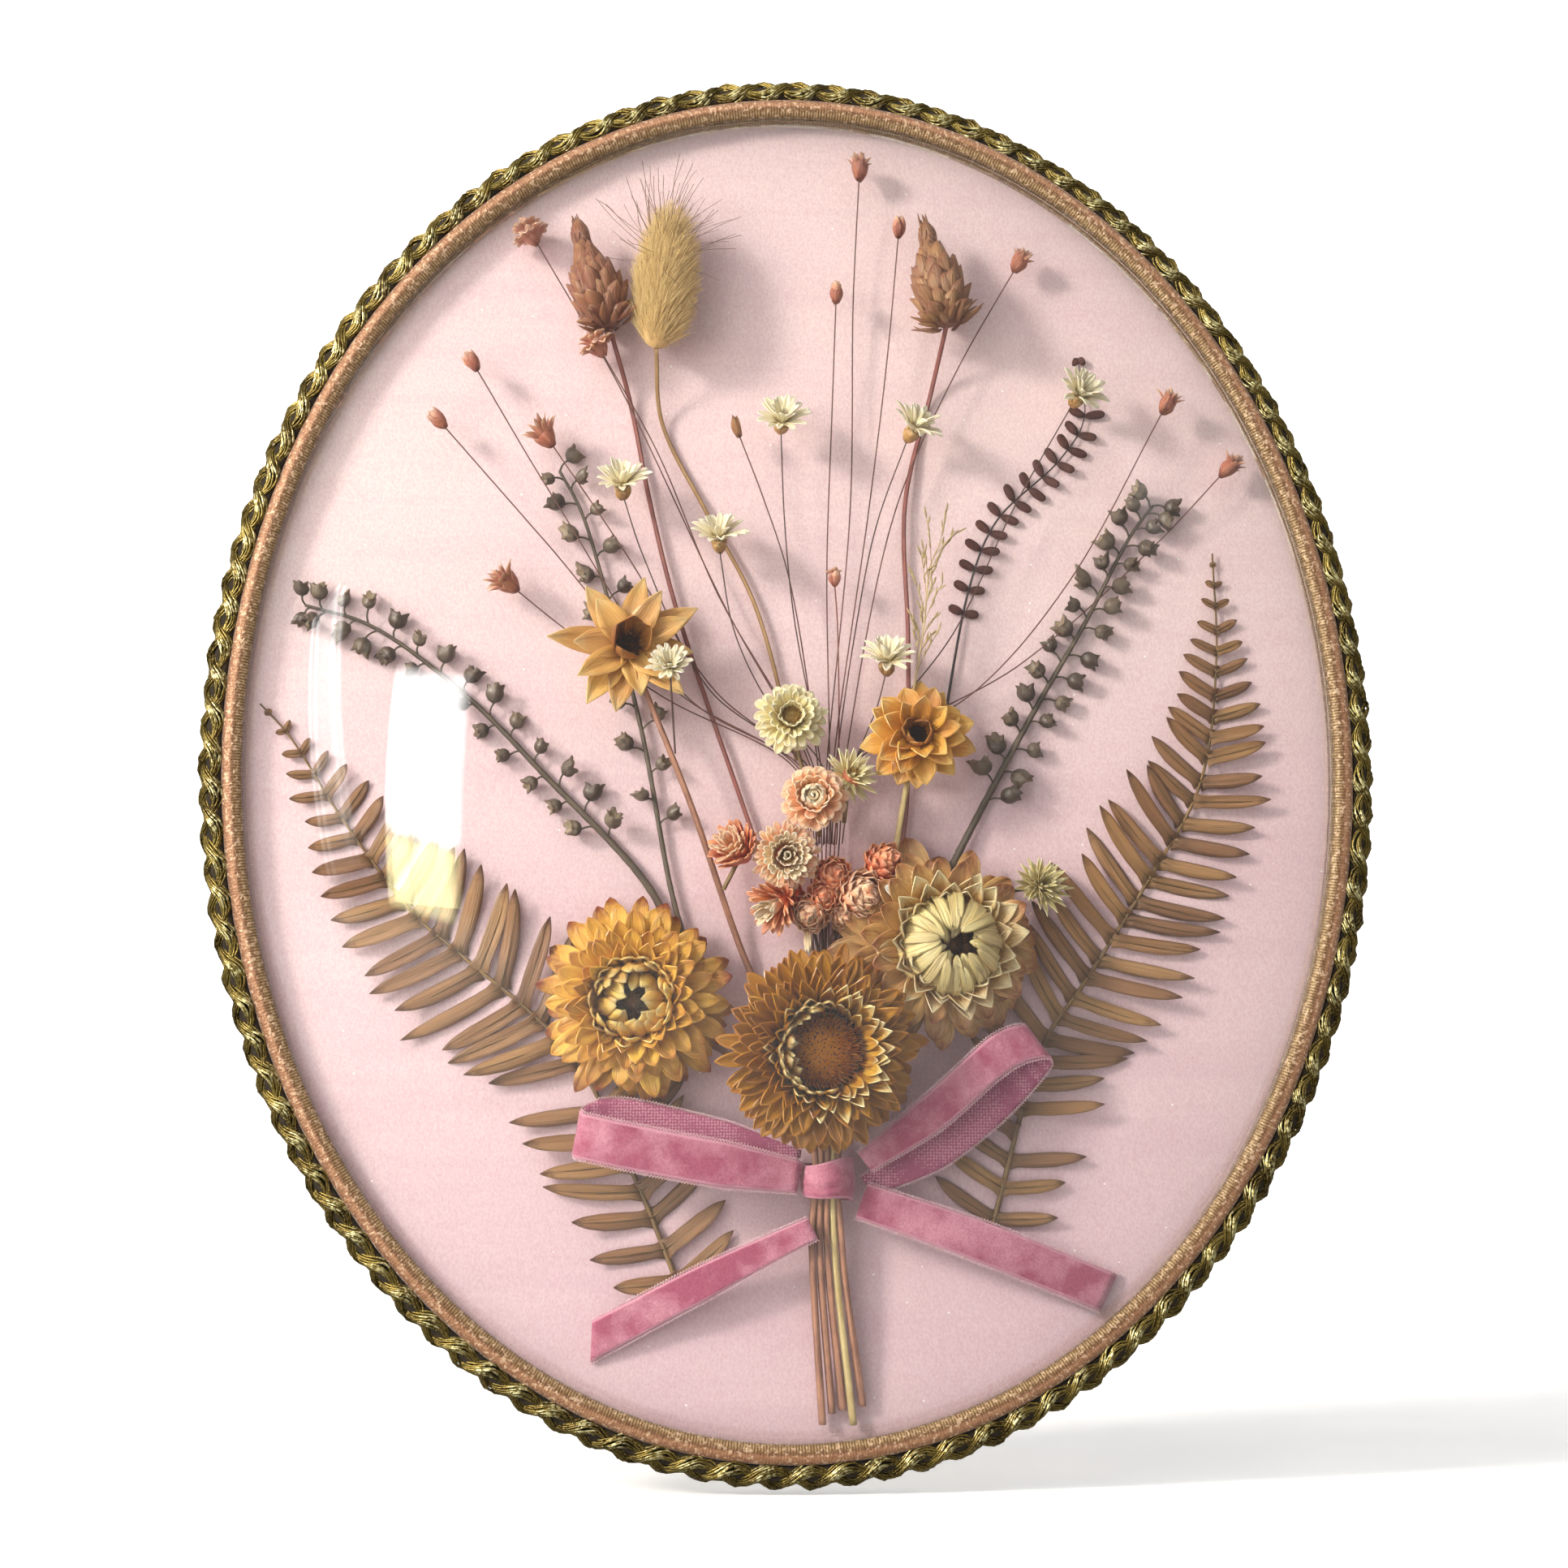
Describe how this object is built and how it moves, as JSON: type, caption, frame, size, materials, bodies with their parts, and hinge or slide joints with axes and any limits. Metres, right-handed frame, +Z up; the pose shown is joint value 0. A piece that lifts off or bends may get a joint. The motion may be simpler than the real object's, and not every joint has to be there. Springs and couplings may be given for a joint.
{
  "type": "domed dried flower frame",
  "caption": "Oval wall ornament: a dried flower posy tied with a velvet bow on a satin ground, under a convex glass edged with ribbon and metallic braid, with a hanging ring at the back.",
  "frame": {"origin": "middle of the back cover's back face", "axes": "+X to the right seen from the front, +Z up as hung, the front faces -Y and the back +Y"},
  "size_m": [0.213, 0.0397, 0.2568],
  "materials": {
    "amber_petals": "dried amber petals, waxy sheen",
    "brass": "satin",
    "brown_fern": "pressed brown fern",
    "mount_card": "smooth card",
    "cream_petals": "dried cream petals",
    "dark_fern": "pressed dark fern",
    "glass": "clear, polished",
    "gold_braid": "dark gold metallic plaited braid",
    "gold_ribbon": "peach-gold wound ribbon, cross ribs",
    "dried_grass": "dried straw-coloured grass",
    "backing_board": "grey board",
    "ochre_petals": "dried ochre petals, waxy sheen",
    "paper_cover": "plain kraft paper",
    "peach_petals": "dried peach petals",
    "red_buds": "dried coral buds",
    "satin": "pale pink satin, soft sheen",
    "seed_pods": "dried dark seed pods",
    "brown_bracts": "dried tan bracts",
    "edge_binding": "brown cloth tape",
    "velvet": "dusty pink velvet"
  },
  "bodies": {
    "frame": {"back_cover": "paper_cover", "backing_board": "backing_board", "bow_knot": "velvet", "bow_loop_left": "velvet", "bow_loop_right": "velvet", "bow_tail_left": "velvet", "bow_tail_right": "velvet", "bunny_tail": "dried_grass", "daisy_mini": "cream_petals", "dome_glass": "glass", "edge_binding": "edge_binding", "everlasting_cream_lower": "cream_petals", "everlasting_cream_upper": "cream_petals", "everlasting_peach_lower": "peach_petals", "everlasting_peach_upper": "peach_petals", "everlasting_pink_cluster": "red_buds", "everlasting_salmon": "peach_petals", "fern_dark": "dark_fern", "fern_left": "brown_fern", "fern_right": "brown_fern", "gold_braid": "gold_braid", "gold_ribbon": "gold_ribbon", "grass_wisp": "dried_grass", "mount_card": "mount_card", "satin_ground": "satin", "scaly_bud_left": "brown_bracts", "scaly_bud_right": "brown_bracts", "seed_spray_left": "seed_pods", "seed_spray_middle": "seed_pods", "seed_spray_right": "seed_pods", "split_pin": "brass", "star_daisy_1": "cream_petals", "star_daisy_2": "cream_petals", "star_daisy_3": "cream_petals", "star_daisy_4": "cream_petals", "star_daisy_5": "cream_petals", "star_daisy_6": "cream_petals", "straw_tuft": "cream_petals", "strawflower_cream": "cream_petals", "strawflower_gold": "amber_petals", "strawflower_ochre": "ochre_petals", "strawflower_open_left": "amber_petals", "strawflower_open_right": "amber_petals", "wire_bud_1": "red_buds", "wire_bud_10": "red_buds", "wire_bud_11": "red_buds", "wire_bud_12": "red_buds", "wire_bud_13": "red_buds", "wire_bud_14": "red_buds", "wire_bud_2": "red_buds", "wire_bud_3": "red_buds", "wire_bud_4": "red_buds", "wire_bud_5": "red_buds", "wire_bud_6": "red_buds", "wire_bud_7": "red_buds", "wire_bud_8": "red_buds", "wire_bud_9": "red_buds"},
    "ring": {"hanging_ring": "brass"}
  },
  "joints": [
    {"name": "ring_swing", "type": "hinge", "parent": "frame", "child": "ring", "pos_m": [0, 0.0015, 0.0906], "axis": [1, 0, 0], "range_deg": [0, 180]}
  ]
}
